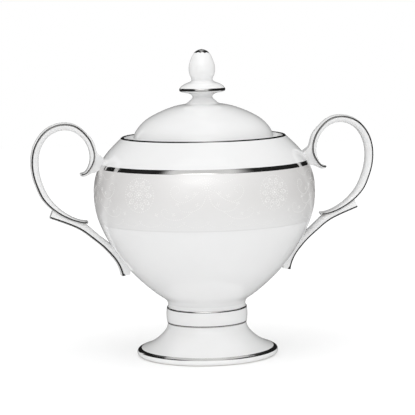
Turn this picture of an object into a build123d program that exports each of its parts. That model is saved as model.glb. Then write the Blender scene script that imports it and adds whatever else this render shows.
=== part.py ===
from build123d import *
import math
import os

# Footed china sugar bowl with a lift-off lid and two open scroll handles.
# Millimetres, +Z up, origin on the table at the centre of the foot, +X through one handle.

# ---------------------------------------------------------------- driving dimensions
BELLY_R, BELLY_Z = 60.1, 88.5          # widest circle of the bowl and its height
WALL = 2.8                             # china wall
RIM_C, RIM_R = (43.75, 118.85), 0.85   # rounded mouth rim: section centre and radius
LEDGE_Z, LEDGE_OUT, LEDGE_IN = 116.2, 41.6, 37.5   # recessed gallery that carries the lid
SPLIT_Z, STEM_R = 28.5, 21.1           # where the bowl is luted onto the pedestal
FLOOR_Z = 32.8                         # inside floor of the bowl at the axis
FOOT_C, FOOT_R = (36.58, 1.93), 1.93   # rolled edge of the foot: section centre and radius
FOOT_BORE = 18.0                       # hollow under the foot
COLLAR_LO, COLLAR_HI = 17.9, 26.3      # collar band on the stem
SHOULDER_LO, SHOULDER_HI = 103.8, 105.9   # broad metal band
LUSTRE_LO = 74.0                       # lower edge of the lustred zone
SKIN_OUT, SKIN_IN = 0.04, 0.12         # applied bands stand this proud and sit this deep
LID_FLANGE_R, LID_FLANGE_T = 40.6, 1.0
LID_COLLAR_R, LID_COLLAR_T, LID_COLLAR_Z = 36.9, 2.2, 112.3
LID_WALL = 2.5
SEAT_R, SEAT_Z = 9.8, 135.8            # shallow seat of the knob in the top of the lid
FLANGE_R, FLANGE_LO, FLANGE_HI = 12.4, 143.95, 145.1   # knob disc edge
TIP_LO = 164.2                         # lower edge of the metal tip
TIP_Z = 166.3                          # overall height
HANDLE_DEPTH = 8.6                     # ribbon width across the handle
LINE_W, LINE_T = 0.9, 0.12             # metal edge line on the handle ribbon

# Outside of the bowl, stem to rim (radius, height).
BOWL_LOWER = [(21.9, 30.3), (23.4, 31.6), (25.9, 33.3), (30.0, 36.5), (35.3, 41.2), (41.8, 47.9), (47.4, 55.2),
              (52.3, 63.0), (56.3, 71.0), (59.1, 79.8)]
BOWL_UPPER = [(59.45, 96.2), (57.0, 103.8), (54.2, 109.0), (50.6, 113.4), (47.1, 116.8)]
# Inside of the bowl, floor to gallery.
BOWL_INNER = [(10.0, 33.2), (18.5, 34.7), (25.0, 38.1), (31.6, 43.3), (38.8, 50.6), (44.6, 58.2), (49.5, 66.2),
              (53.6, 74.8), (56.3, 82.6), (57.2, 89.0), (56.4, 96.4), (54.0, 103.4), (51.0, 108.6), (47.8, 112.0)]
# Flare of the pedestal, collar downwards.
FLARE = [(22.1, 14.8), (24.1, 11.9), (26.8, 9.3), (30.1, 6.95), (33.6, 5.15)]
# Outside of the lid dome, upwards from just above the flange.
DOME = [(38.2, 118.4), (37.6, 120.4), (36.7, 122.4), (35.3, 124.45), (33.4, 126.6), (30.8, 128.8), (27.2, 131.0),
        (22.8, 133.1), (18.2, 134.9), (13.8, 136.15)]
# Inside of the lid dome.
DOME_IN = [(35.0, 120.2), (33.0, 123.5), (29.0, 126.8), (24.0, 129.6), (18.0, 131.9), (10.0, 133.2)]
# Knob: foot, neck, underside of the disc.
NECK = [(8.5, 137.35), (7.1, 138.5), (5.9, 139.6), (5.35, 140.75), (6.1, 141.9)]
# Knob: disc top to the waist, then the egg.
DISC_TOP = [(10.6, 147.0), (8.2, 148.2)]
EGG = [(5.8, 150.6), (6.45, 152.1), (6.98, 153.8), (7.12, 155.8), (6.9, 157.9), (6.25, 160.1), (5.4, 162.2)]

# Handle ribbon in the plane of the handle (distance from the axis, height).
# Back of the scroll, from the inner curl over the top and round to the lower end.
SCROLL_OUT = [(66.6, 99.75), (64.2, 100.0), (61.7, 102.5), (59.7, 105.7), (58.5, 109.3), (58.6, 113.2), (59.4, 116.1),
              (60.9, 119.8), (63.1, 122.7), (66.3, 126.0), (69.1, 127.8), (72.0, 128.8), (75.2, 129.1), (78.6, 128.8),
              (81.3, 128.0), (83.9, 126.9), (85.8, 125.6), (88.4, 123.1), (90.8, 119.7), (92.2, 117.0), (93.3, 113.5),
              (93.9, 109.8), (94.0, 106.5), (93.7, 102.9), (93.0, 99.2), (91.7, 95.2), (90.0, 90.8), (88.2, 87.4),
              (86.1, 84.9), (84.2, 82.9), (82.2, 81.3), (79.0, 78.9), (76.2, 77.4), (73.0, 75.8), (70.3, 74.9),
              (67.6, 74.1), (64.3, 73.9)]
# Belly of the scroll, same direction.
SCROLL_IN = [(66.9, 101.3), (65.3, 101.7), (63.3, 103.9), (62.1, 107.3), (62.0, 111.3), (62.9, 115.6), (64.8, 119.2),
             (67.8, 122.2), (71.2, 124.1), (74.8, 124.8), (78.4, 124.4), (81.8, 123.0), (85.0, 120.4), (87.4, 116.8),
             (88.8, 112.6), (89.4, 107.4), (89.0, 101.9), (87.6, 96.3), (85.3, 90.9), (83.1, 87.3), (80.0, 83.7),
             (76.8, 80.9), (73.8, 78.8), (70.8, 77.2), (67.6, 76.0), (64.5, 75.5)]
# Lower branch: its outer edge from the spur to the pointed end, and the edge it turns to the bowl.
BRANCH_OUT = [(84.4, 77.4), (80.4, 75.9), (75.1, 73.8), (71.0, 72.0), (67.9, 70.3), (64.8, 68.0), (61.7, 65.4),
              (58.2, 62.5), (55.3, 59.7), (52.2, 56.2), (49.8, 53.1), (48.2, 50.0), (47.1, 47.0), (46.8, 45.0)]
BRANCH_IN = [(63.9, 72.9), (61.9, 70.4), (58.8, 67.6), (55.4, 64.9), (52.6, 62.6), (47.0, 58.0)]


def offset_path(points, amount):
    """The points moved sideways by amount, to the right of their direction of travel."""
    moved = []
    for i, (x, y) in enumerate(points):
        x0, y0 = points[max(0, i - 1)]
        x1, y1 = points[min(len(points) - 1, i + 1)]
        length = math.hypot(x1 - x0, y1 - y0)
        moved.append((x + amount * (y1 - y0) / length, y - amount * (x1 - x0) / length))
    return moved


def sample(edge, low, high, count=12):
    """Points of a profile edge whose height runs from low to high."""
    def at(height):
        a, b = 0.0, 1.0
        rising = (edge @ 1).Y > (edge @ 0).Y
        for _ in range(50):
            m = (a + b) / 2
            if ((edge @ m).Y < height) == rising:
                a = m
            else:
                b = m
        return (a + b) / 2
    t0, t1 = at(low), at(high)
    return [((edge @ (t0 + (t1 - t0) * k / count)).X, (edge @ (t0 + (t1 - t0) * k / count)).Y) for k in range(count + 1)]


# ---------------------------------------------------------------- bowl
RIM_OUT = (RIM_C[0] + RIM_R * math.cos(math.radians(49.0)), RIM_C[1] + RIM_R * math.sin(math.radians(49.0)))
with BuildPart() as bowl_solid:            # the bowl with nothing hollowed out
    with BuildSketch(Plane.XZ):
        with BuildLine():
            base = Line((0, SPLIT_Z), (STEM_R, SPLIT_Z))
            outer = Spline((STEM_R, SPLIT_Z), *BOWL_LOWER, (BELLY_R, BELLY_Z), *BOWL_UPPER, RIM_OUT)
            crest = CenterArc(RIM_C, RIM_R, 49.0, 41.0)
            Polyline(crest @ 1, (0, RIM_C[1] + RIM_R), (0, SPLIT_Z))
        make_face()
    revolve(axis=Axis.Z)

with BuildPart() as bowl_body:
    add(bowl_solid.part)
    with BuildSketch(Plane.XZ):            # the hollow: mouth, gallery step, inside of the wall, floor
        with BuildLine():
            top = RIM_C[1] + RIM_R
            Polyline((0, FLOOR_Z), (0, top + 2), (RIM_C[0], top + 2), (RIM_C[0], top))
            CenterArc(RIM_C, RIM_R, 90.0, 82.0)
            start = (RIM_C[0] + RIM_R * math.cos(math.radians(172.0)), RIM_C[1] + RIM_R * math.sin(math.radians(172.0)))
            Polyline(start, (LEDGE_OUT, LEDGE_Z), (LEDGE_IN, LEDGE_Z), (LEDGE_IN, LEDGE_Z - 2.0))
            ThreePointArc((LEDGE_IN, LEDGE_Z - 2.0), (43.0, 113.75), BOWL_INNER[-1])
            Spline(*reversed(BOWL_INNER), (0, FLOOR_Z))
        make_face()
    revolve(axis=Axis.Z, mode=Mode.SUBTRACT)

# ---------------------------------------------------------------- handles
def handle_outline():
    """One handle in its own plane: scroll, upper stem and lower branch, run into the bowl wall."""
    with BuildSketch(Plane.XZ) as outline:
        with BuildLine():                  # scroll
            back = Spline(*SCROLL_OUT)
            belly = Spline(*SCROLL_IN)
            ThreePointArc(back @ 0, (67.6, 100.6), belly @ 0)
            ThreePointArc(back @ 1, (63.4, 74.65), belly @ 1)
        make_face()
        with BuildLine():                  # upper stem
            Spline((50.5, 107.6), (54.6, 109.7), (56.9, 111.4), (58.9, 115.0))
            Polyline((58.9, 115.0), (60.6, 112.0), (62.6, 103.4), (65.4, 100.9), (66.3, 100.2))
            Spline((66.3, 100.2), (65.9, 99.4), (64.2, 98.85), (61.6, 98.95), (58.6, 100.0), (54.0, 101.2))
            Line((54.0, 101.2), (50.5, 107.6))
        make_face()
        with BuildLine():                  # lower branch
            edge = Spline(*BRANCH_OUT)
            Spline((84.4, 77.4), (84.0, 79.4), (84.6, 82.2))
            Polyline((84.6, 82.2), (82.6, 83.2), (70.0, 76.0), (66.0, 74.9), BRANCH_IN[0])
            Spline(*BRANCH_IN)
            Polyline(BRANCH_IN[-1], (40.5, 52.0), (40.2, 48.6), (42.3, 47.7))
            Spline((42.3, 47.7), (44.6, 46.0), (46.8, 45.0))
        make_face()
    return outline.sketch


def edge_line(points, first, last, side):
    """Metal line let in flush along the back edge of a ribbon, on its front and its rear face."""
    used, inner = offset_path(points, -SKIN_OUT)[first:last], offset_path(points, LINE_W)[first:last]
    with BuildPart() as line:
        for plane in (Plane.XZ.offset(HANDLE_DEPTH / 2 - LINE_T), Plane.XZ.offset(-HANDLE_DEPTH / 2)):
            with BuildSketch(plane):
                with BuildLine():
                    a = Spline(*used)
                    b = Spline(*inner)
                    Line(a @ 0, b @ 0)
                    Line(a @ 1, b @ 1)
                make_face()
            extrude(amount=LINE_T)
        if side < 0:
            mirror(about=Plane.YZ, mode=Mode.REPLACE)
    return line.part


finished = {}
raw_handles = {}
for name, side in (("handle_right", 1), ("handle_left", -1)):
    with BuildPart() as raw:
        with BuildSketch(Plane.XZ):
            add(handle_outline())
        extrude(amount=HANDLE_DEPTH / 2, both=True)
        if side < 0:
            mirror(about=Plane.YZ, mode=Mode.REPLACE)
    raw_handles[name] = raw.part
    scroll_line = edge_line(SCROLL_OUT, 0, len(SCROLL_OUT), side)
    branch_line = edge_line(BRANCH_OUT, 0, len(BRANCH_OUT), side)
    with BuildPart() as handle:
        add(raw.part)
        add(bowl_solid.part, mode=Mode.SUBTRACT)
        add(scroll_line, mode=Mode.SUBTRACT)
        add(branch_line, mode=Mode.SUBTRACT)
    finished[name] = handle.part
    finished[name + "_scroll_line"] = scroll_line
    finished[name + "_branch_line"] = branch_line


# ---------------------------------------------------------------- applied bands
def band(path):
    """A thin ring following a profile path (radius, height), its outer side to the right of the path."""
    outer, inner = offset_path(path, SKIN_OUT), offset_path(path, -SKIN_IN)
    with BuildPart() as ring:
        with BuildSketch(Plane.XZ):
            with BuildLine():
                a = Spline(*outer) if len(outer) > 2 else Line(*outer)
                b = Spline(*inner) if len(inner) > 2 else Line(*inner)
                Line(a @ 0, b @ 0)
                Line(a @ 1, b @ 1)
            make_face()
        revolve(axis=Axis.Z)
    return ring.part


def arc_path(centre, radius, start, end, count=8):
    """Points on a circle section, upwards on its outer side, so start is the smaller angle."""
    return [(centre[0] + radius * math.cos(math.radians(start + (end - start) * k / count)),
             centre[1] + radius * math.sin(math.radians(start + (end - start) * k / count))) for k in range(count + 1)]


shoulder_path = sample(outer, SHOULDER_LO, SHOULDER_HI, 4)
lustre_path = sample(outer, LUSTRE_LO, SHOULDER_LO, 16)
rim_path = sample(outer, RIM_OUT[1] - 0.55, RIM_OUT[1] - 0.02, 3)[:-1] + arc_path(RIM_C, RIM_R, 49.0, 97.0)
with BuildPart() as shoulder_band:
    add(band(shoulder_path))
    for raw_handle in raw_handles.values():
        add(raw_handle, mode=Mode.SUBTRACT)
with BuildPart() as lustre_band:
    add(band(lustre_path))
    add(shoulder_band.part, mode=Mode.SUBTRACT)
    for raw_handle in raw_handles.values():
        add(raw_handle, mode=Mode.SUBTRACT)
with BuildPart() as rim_line:
    add(band(rim_path))
with BuildPart(mode=Mode.PRIVATE) as bowl_cut:
    add(bowl_body.part)
    for skin in (shoulder_band, lustre_band, rim_line):
        add(skin.part, mode=Mode.SUBTRACT)
finished["bowl_body"] = bowl_cut.part
finished["shoulder_band"] = shoulder_band.part
finished["lustre_band"] = lustre_band.part
finished["rim_line"] = rim_line.part

# ---------------------------------------------------------------- pedestal foot
EDGE_END = 66.0                            # where the rolled edge runs into the flare, degrees up its section
edge_top = (FOOT_C[0] + FOOT_R * math.cos(math.radians(EDGE_END)), FOOT_C[1] + FOOT_R * math.sin(math.radians(EDGE_END)))
with BuildPart() as foot:
    with BuildSketch(Plane.XZ):
        with BuildLine():
            stem = Line((STEM_R, SPLIT_Z), (STEM_R, COLLAR_HI + 0.5))
            step = Line(stem @ 1, (21.75, COLLAR_HI))
            collar = ThreePointArc(step @ 1, (22.15, 22.0), (21.6, COLLAR_LO))
            under = Line(collar @ 1, (21.45, COLLAR_LO - 0.5))
            flare = Spline(under @ 1, *FLARE, edge_top)
            roll = CenterArc(FOOT_C, FOOT_R, -90.0, 90.0 + EDGE_END)
            Polyline((FOOT_C[0], 0), (34.6, 0), (33.6, 1.1))
            Spline((33.6, 1.1), (29.2, 3.9), (24.6, 6.9), (21.0, 10.0), (18.7, 13.8), (FOOT_BORE, 18.0))
            Polyline((FOOT_BORE, 18.0), (FOOT_BORE, SPLIT_Z), (STEM_R, SPLIT_Z))
        make_face()
    revolve(axis=Axis.Z)
foot_lines = {
    "foot_collar_upper_line": band(sample(collar, COLLAR_HI - 0.85, COLLAR_HI - 0.05, 3)),
    "foot_collar_lower_line": band(sample(collar, COLLAR_LO + 0.05, COLLAR_LO + 0.85, 3)),
    "foot_edge_band": band(arc_path(FOOT_C, FOOT_R, 33.0, EDGE_END - 1.0, 5)
                           + sample(flare, edge_top[1] + 0.03, edge_top[1] + 0.42, 3)),
}
with BuildPart() as pedestal_foot:
    add(foot.part)
    for ring in foot_lines.values():
        add(ring, mode=Mode.SUBTRACT)
finished["pedestal_foot"] = pedestal_foot.part
finished.update(foot_lines)

# ---------------------------------------------------------------- lid
with BuildPart() as lid_dome:
    with BuildSketch(Plane.XZ):
        with BuildLine():
            seat_edge = (SEAT_R, 136.85)
            Polyline((0, 133.5), (0, SEAT_Z), (SEAT_R, SEAT_Z), seat_edge)
            Spline(seat_edge, *reversed(DOME))
            ThreePointArc(DOME[0], (38.65, LEDGE_Z + 1.35), (39.7, LEDGE_Z + LID_FLANGE_T))
            Polyline((39.7, LEDGE_Z + LID_FLANGE_T), (LID_FLANGE_R - 0.3, LEDGE_Z + LID_FLANGE_T),
                     (LID_FLANGE_R, LEDGE_Z + LID_FLANGE_T - 0.3), (LID_FLANGE_R, LEDGE_Z), (LID_COLLAR_R, LEDGE_Z),
                     (LID_COLLAR_R, LID_COLLAR_Z + 0.5), (LID_COLLAR_R - 0.5, LID_COLLAR_Z),
                     (LID_COLLAR_R - LID_COLLAR_T + 0.4, LID_COLLAR_Z), (LID_COLLAR_R - LID_COLLAR_T, LID_COLLAR_Z + 0.4),
                     (LID_COLLAR_R - LID_COLLAR_T, 117.6))
            Spline((LID_COLLAR_R - LID_COLLAR_T, 117.6), *DOME_IN[1:], (0, 133.5))
        make_face()
    revolve(axis=Axis.Z)
finished["lid_dome"] = lid_dome.part

with BuildPart() as knob_solid:
    with BuildSketch(Plane.XZ):
        with BuildLine():
            Polyline((0, SEAT_Z), (SEAT_R, SEAT_Z), seat_edge)
            neck = Spline(seat_edge, *NECK, (8.6, 142.9))
            Spline(neck @ 1, (10.8, 143.35), (FLANGE_R, FLANGE_LO))
            rim_edge = Line((FLANGE_R, FLANGE_LO), (FLANGE_R, FLANGE_HI))
            Spline(rim_edge @ 1, *DISC_TOP, (5.75, 149.45))
            egg = Spline((5.75, 149.45), *EGG, (4.3, 164.1), (2.9, 165.3), (1.5, 166.0), (0, TIP_Z))
            Line(egg @ 1, (0, SEAT_Z))
        make_face()
    revolve(axis=Axis.Z)
cap_path = sample(egg, TIP_LO, TIP_Z - 0.005, 12)
cap_path[-1] = (0, TIP_Z)
with BuildPart() as knob_tip:
    with BuildSketch(Plane.XZ):
        with BuildLine():
            outer_cap = offset_path(cap_path, SKIN_OUT)[:-1] + [(0, TIP_Z + SKIN_OUT)]
            inner_cap = offset_path(cap_path, -SKIN_IN)[:-1] + [(0, TIP_Z - SKIN_IN)]
            Spline(*outer_cap)
            Spline(*inner_cap)
            Line(outer_cap[0], inner_cap[0])
            Line(outer_cap[-1], inner_cap[-1])
        make_face()
    revolve(axis=Axis.Z)
knob_flange_line = band([(FLANGE_R, FLANGE_LO + 0.02), (FLANGE_R, FLANGE_HI - 0.02)])
with BuildPart() as knob:
    add(knob_solid.part)
    add(knob_tip.part, mode=Mode.SUBTRACT)
    add(knob_flange_line, mode=Mode.SUBTRACT)
finished["knob"] = knob.part
finished["knob_flange_line"] = knob_flange_line
finished["knob_tip"] = knob_tip.part

# ---------------------------------------------------------------- pieces to files
os.makedirs("parts", exist_ok=True)
for name, piece in finished.items():
    piece.label = name
    export_step(piece, "parts/" + name + ".step")
    box = piece.bounding_box()
    print(name, len(piece.solids()), round(piece.volume, 2), [round(v, 2) for v in (*box.min, *box.max)])
print("cap starts at height", round(cap_path[0][1], 2), "radius", round(cap_path[0][0], 2))
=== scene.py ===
import math

import bmesh
import bpy
import numpy as np
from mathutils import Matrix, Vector


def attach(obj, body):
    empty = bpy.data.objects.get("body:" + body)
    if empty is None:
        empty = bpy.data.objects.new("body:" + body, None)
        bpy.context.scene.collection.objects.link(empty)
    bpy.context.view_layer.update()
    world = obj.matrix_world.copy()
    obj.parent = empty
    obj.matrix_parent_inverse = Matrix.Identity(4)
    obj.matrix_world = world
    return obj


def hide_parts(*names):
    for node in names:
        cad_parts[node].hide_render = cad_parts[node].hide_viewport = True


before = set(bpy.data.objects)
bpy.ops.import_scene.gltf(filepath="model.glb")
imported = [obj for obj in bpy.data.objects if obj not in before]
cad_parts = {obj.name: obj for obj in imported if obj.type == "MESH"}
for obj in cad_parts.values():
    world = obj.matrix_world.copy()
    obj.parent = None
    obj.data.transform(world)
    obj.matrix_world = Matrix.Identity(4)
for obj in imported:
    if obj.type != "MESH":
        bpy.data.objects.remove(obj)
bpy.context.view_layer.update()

MM = 0.001

# ================================================================ sizes, millimetres, as in the CAD model
BELLY = (60.0, 88.5)
RIM_C, RIM_R = (43.75, 118.85), 0.85
LEDGE_Z, LEDGE_OUT, LEDGE_IN = 116.2, 41.6, 37.5
SPLIT_Z, STEM_R = 28.5, 21.1
FLOOR_Z = 32.8
FOOT_C, FOOT_R = (36.58, 1.93), 1.93
BOWL_LOWER = [(21.9, 30.3), (23.4, 31.6), (25.9, 33.3), (30.0, 36.5), (35.3, 41.2), (41.8, 47.9), (47.4, 55.2),
              (52.3, 63.0), (56.3, 71.0), (59.1, 79.8)]
BOWL_UPPER = [(59.45, 96.2), (57.0, 103.8), (54.2, 109.0), (50.6, 113.4), (47.1, 116.8)]
BOWL_INNER = [(10.0, 33.2), (18.5, 34.7), (25.0, 38.1), (31.6, 43.3), (38.8, 50.6), (44.6, 58.2), (49.5, 66.2),
              (53.6, 74.8), (56.3, 82.6), (57.2, 89.0), (56.4, 96.4), (54.0, 103.4), (51.0, 108.6), (47.8, 112.0)]
FLARE = [(22.1, 14.8), (24.1, 11.9), (26.8, 9.3), (30.1, 6.95), (33.6, 5.15)]
DOME = [(38.2, 118.4), (37.6, 120.4), (36.7, 122.4), (35.3, 124.45), (33.4, 126.6), (30.8, 128.8), (27.2, 131.0),
        (22.8, 133.1), (18.2, 134.9), (13.8, 136.15)]
DOME_IN = [(33.0, 123.5), (29.0, 126.8), (24.0, 129.6), (18.0, 131.9), (10.0, 133.2)]
SEAT = (9.8, 136.85)
NECK = [(8.5, 137.35), (7.1, 138.5), (5.9, 139.6), (5.35, 140.75), (6.1, 141.9)]
FLANGE_R, FLANGE_LO, FLANGE_HI = 12.35, 143.95, 145.1
DISC_TOP = [(10.6, 147.0), (8.2, 148.2)]
EGG = [(5.8, 150.6), (6.45, 152.1), (6.98, 153.8), (7.12, 155.8), (6.9, 157.9), (6.25, 160.1), (5.4, 162.2),
       (4.3, 164.1), (2.9, 165.3), (1.5, 165.95)]
TIP_Z = 166.25

# Scroll ribbon, back edge and belly, and the lower branch, in the plane of the handle.
SCROLL_OUT = [(66.6, 99.75), (64.2, 100.0), (61.7, 102.5), (59.7, 105.7), (58.5, 109.3), (58.6, 113.2), (59.4, 116.1),
              (60.9, 119.8), (63.1, 122.7), (66.3, 126.0), (69.1, 127.8), (72.0, 128.8), (75.2, 129.1), (78.6, 128.8),
              (81.3, 128.0), (83.9, 126.9), (85.8, 125.6), (88.4, 123.1), (90.8, 119.7), (92.2, 117.0), (93.3, 113.5),
              (93.9, 109.8), (94.0, 106.5), (93.7, 102.9), (93.0, 99.2), (91.7, 95.2), (90.0, 90.8), (88.2, 87.4),
              (86.1, 84.9), (84.2, 82.9), (82.2, 81.3), (79.0, 78.9), (76.2, 77.4), (73.0, 75.8), (70.3, 74.9),
              (67.6, 74.1), (64.3, 73.9)]
BRANCH_OUT = [(84.4, 77.4), (80.4, 75.9), (75.1, 73.8), (71.0, 72.0), (67.9, 70.3), (64.8, 68.0), (61.7, 65.4),
              (58.2, 62.5), (55.3, 59.7), (52.2, 56.2), (49.8, 53.1), (48.2, 50.0), (47.1, 47.0), (46.8, 45.0)]


# ================================================================ small geometry tools
def cubic(points, step=0.35, closed=False):
    """Dense points of a natural cubic spline through the points, chord-length parameter."""
    p = np.array(points, float)
    if len(p) == 2:
        n = max(2, int(np.linalg.norm(p[1] - p[0]) / step) + 1)
        return p[0] + (p[1] - p[0]) * np.linspace(0, 1, n)[:, None]
    h = np.linalg.norm(np.diff(p, axis=0), axis=1)
    n = len(p)
    a = np.zeros((n, n))
    r = np.zeros((n, p.shape[1]))
    a[0, 0] = a[-1, -1] = 1
    for i in range(1, n - 1):
        a[i, i - 1], a[i, i], a[i, i + 1] = h[i - 1], 2 * (h[i - 1] + h[i]), h[i]
        r[i] = 6 * ((p[i + 1] - p[i]) / h[i] - (p[i] - p[i - 1]) / h[i - 1])
    m = np.linalg.solve(a, r)
    out = []
    for i in range(n - 1):
        k = max(2, int(math.ceil(h[i] / step)))
        for t in np.linspace(0, 1, k, endpoint=False):
            x = t * h[i]
            y = h[i] - x
            out.append(m[i] * y ** 3 / (6 * h[i]) + m[i + 1] * x ** 3 / (6 * h[i]) + (p[i] / h[i] - m[i] * h[i] / 6) * y
                       + (p[i + 1] / h[i] - m[i + 1] * h[i] / 6) * x)
    out.append(p[-1])
    return np.array(out)


def arc(centre, radius, start, end, count=10):
    t = np.radians(np.linspace(start, end, count + 1))
    return np.stack([centre[0] + radius * np.cos(t), centre[1] + radius * np.sin(t)], 1)


def rounded(points, radii, count=5):
    """A polyline with its inner corners rounded; radii has one entry for each corner between the ends."""
    p = [np.array(q, float) for q in points]
    out = [p[0]]
    for i in range(1, len(p) - 1):
        r = radii[i - 1] if hasattr(radii, "__len__") else radii
        a, b = p[i - 1] - p[i], p[i + 1] - p[i]
        la, lb = np.linalg.norm(a), np.linalg.norm(b)
        a, b = a / la, b / lb
        half = math.acos(max(-1, min(1, float(a @ b)))) / 2
        d = min(r / max(1e-6, math.tan(half)), 0.49 * la, 0.49 * lb)
        for t in np.linspace(0, 1, count + 1):
            out.append((p[i] + a * d) * (1 - t) ** 2 + 2 * t * (1 - t) * p[i] + (p[i] + b * d) * t ** 2)
    out.append(p[-1])
    return np.array(out)


def join(*runs):
    out = []
    for run in runs:
        for q in run:
            q = np.array(q, float)
            if not out or np.linalg.norm(q - out[-1]) > 1e-4:
                out.append(q)
    return np.array(out)


def resample(path, step):
    path = np.array(path, float)
    s = np.concatenate([[0], np.cumsum(np.linalg.norm(np.diff(path, axis=0), axis=1))])
    n = max(3, int(round(s[-1] / step)) + 1)
    t = np.linspace(0, s[-1], n)
    return np.stack([np.interp(t, s, path[:, k]) for k in range(path.shape[1])], 1)


def interp_at(path, fractions):
    """Points at fractions of a path's length."""
    s = np.concatenate([[0], np.cumsum(np.linalg.norm(np.diff(path, axis=0), axis=1))])
    t = np.asarray(fractions) * s[-1]
    return np.stack([np.interp(t, s, path[:, 0]), np.interp(t, s, path[:, 1])], 1)


def normals(path):
    """Unit normals to the right of the direction of travel."""
    d = np.gradient(path, axis=0)
    d /= np.linalg.norm(d, axis=1)[:, None]
    return np.stack([d[:, 1], -d[:, 0]], 1)


def between(path, low, high):
    """The stretch of a rising path between two heights."""
    z = path[:, 1]
    s = np.arange(len(path))
    i0, i1 = np.interp(low, z, s), np.interp(high, z, s)
    k = np.concatenate([[i0], np.arange(math.ceil(i0 + 1e-6), math.floor(i1 - 1e-6) + 1), [i1]])
    return np.stack([np.interp(k, s, path[:, 0]), np.interp(k, s, path[:, 1])], 1)


def mesh_object(name, verts, faces, sharp=None):
    mesh = bpy.data.meshes.new(name)
    mesh.from_pydata([tuple(v) for v in verts], [], faces)
    mesh.validate()
    bm = bmesh.new()
    bm.from_mesh(mesh)
    bmesh.ops.remove_doubles(bm, verts=bm.verts, dist=1e-7)
    bmesh.ops.recalc_face_normals(bm, faces=bm.faces)
    bm.to_mesh(mesh)
    bm.free()
    for poly in mesh.polygons:
        poly.use_smooth = True
    if sharp:
        mesh.set_sharp_from_angle(angle=math.radians(sharp))
    obj = bpy.data.objects.new(name, mesh)
    bpy.context.scene.collection.objects.link(obj)
    return obj


def lathe(name, profile, segments=288, sharp=40):
    """A closed profile (radius, height), in millimetres, turned about the vertical axis."""
    profile = np.array(profile, float)
    if np.linalg.norm(profile[0] - profile[-1]) < 1e-6:
        profile = profile[:-1]
    verts, rings = [], []
    for r, z in profile:
        if r < 1e-5:
            rings.append([len(verts)])
            verts.append((0, 0, z * MM))
        else:
            rings.append(list(range(len(verts), len(verts) + segments)))
            for k in range(segments):
                a = 2 * math.pi * k / segments
                verts.append((r * MM * math.cos(a), r * MM * math.sin(a), z * MM))
    faces = []
    for i in range(len(rings)):
        a, b = rings[i], rings[(i + 1) % len(rings)]
        if len(a) == 1 and len(b) == 1:
            continue
        for k in range(segments):
            n = (k + 1) % segments
            if len(a) == 1:
                faces.append((a[0], b[k], b[n]))
            elif len(b) == 1:
                faces.append((a[k], b[0], a[n]))
            else:
                faces.append((a[k], b[k], b[n], a[n]))
    return mesh_object(name, verts, faces, sharp)


def skin(name, path, out=0.05, depth=0.10, segments=288, sharp=50):
    """A thin closed ring along a profile path, with a softly rounded edge."""
    path = resample(path, 0.25)
    n = normals(path)
    lift = np.full(len(path), out)
    lift[0] = lift[-1] = out * 0.25
    top = path + n * lift[:, None]
    bottom = path - n * depth
    return lathe(name, join(top, bottom[::-1]), segments, sharp)


# ================================================================ materials
def material(name):
    m = bpy.data.materials.new(name)
    m.use_nodes = True
    nt = m.node_tree
    for node in list(nt.nodes):
        nt.nodes.remove(node)
    out = nt.nodes.new("ShaderNodeOutputMaterial")
    b = nt.nodes.new("ShaderNodeBsdfPrincipled")
    nt.links.new(b.outputs["BSDF"], out.inputs["Surface"])
    return m, nt, b


def noise(nt, coords, scale, detail=3.0, rough=0.55, distortion=0.0):
    n = nt.nodes.new("ShaderNodeTexNoise")
    n.inputs["Scale"].default_value = scale
    n.inputs["Detail"].default_value = detail
    n.inputs["Roughness"].default_value = rough
    n.inputs["Distortion"].default_value = distortion
    nt.links.new(coords, n.inputs["Vector"])
    return n.outputs["Fac"]


def ramp(nt, fac, stops):
    r = nt.nodes.new("ShaderNodeValToRGB")
    while len(r.color_ramp.elements) < len(stops):
        r.color_ramp.elements.new(0.5)
    for e, (pos, col) in zip(r.color_ramp.elements, stops):
        e.position = pos
        e.color = (*col, 1.0) if len(col) == 3 else col
    nt.links.new(fac, r.inputs["Fac"])
    return r.outputs["Color"]


def remap(nt, fac, a0, a1, b0, b1):
    m = nt.nodes.new("ShaderNodeMapRange")
    for i, v in zip(("From Min", "From Max", "To Min", "To Max"), (a0, a1, b0, b1)):
        m.inputs[i].default_value = v
    nt.links.new(fac, m.inputs["Value"])
    return m.outputs["Result"]


def mixcol(nt, fac, a, b, mode="MIX"):
    m = nt.nodes.new("ShaderNodeMix")
    m.data_type = "RGBA"
    m.blend_type = mode
    for socket, value in ((m.inputs[0], fac), (m.inputs[6], a), (m.inputs[7], b)):
        if isinstance(value, (tuple, float, int)):
            socket.default_value = (*value, 1.0) if isinstance(value, tuple) else value
        else:
            nt.links.new(value, socket)
    return m.outputs[2]


def bump(nt, b, height, strength, distance):
    n = nt.nodes.new("ShaderNodeBump")
    n.inputs["Strength"].default_value = strength
    n.inputs["Distance"].default_value = distance
    nt.links.new(height, n.inputs["Height"])
    nt.links.new(n.outputs["Normal"], b.inputs["Normal"])


def coords(nt):
    return nt.nodes.new("ShaderNodeTexCoord").outputs["Object"]


def height_of(nt, c):
    s = nt.nodes.new("ShaderNodeSeparateXYZ")
    nt.links.new(c, s.inputs["Vector"])
    return s.outputs["Z"]


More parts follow.
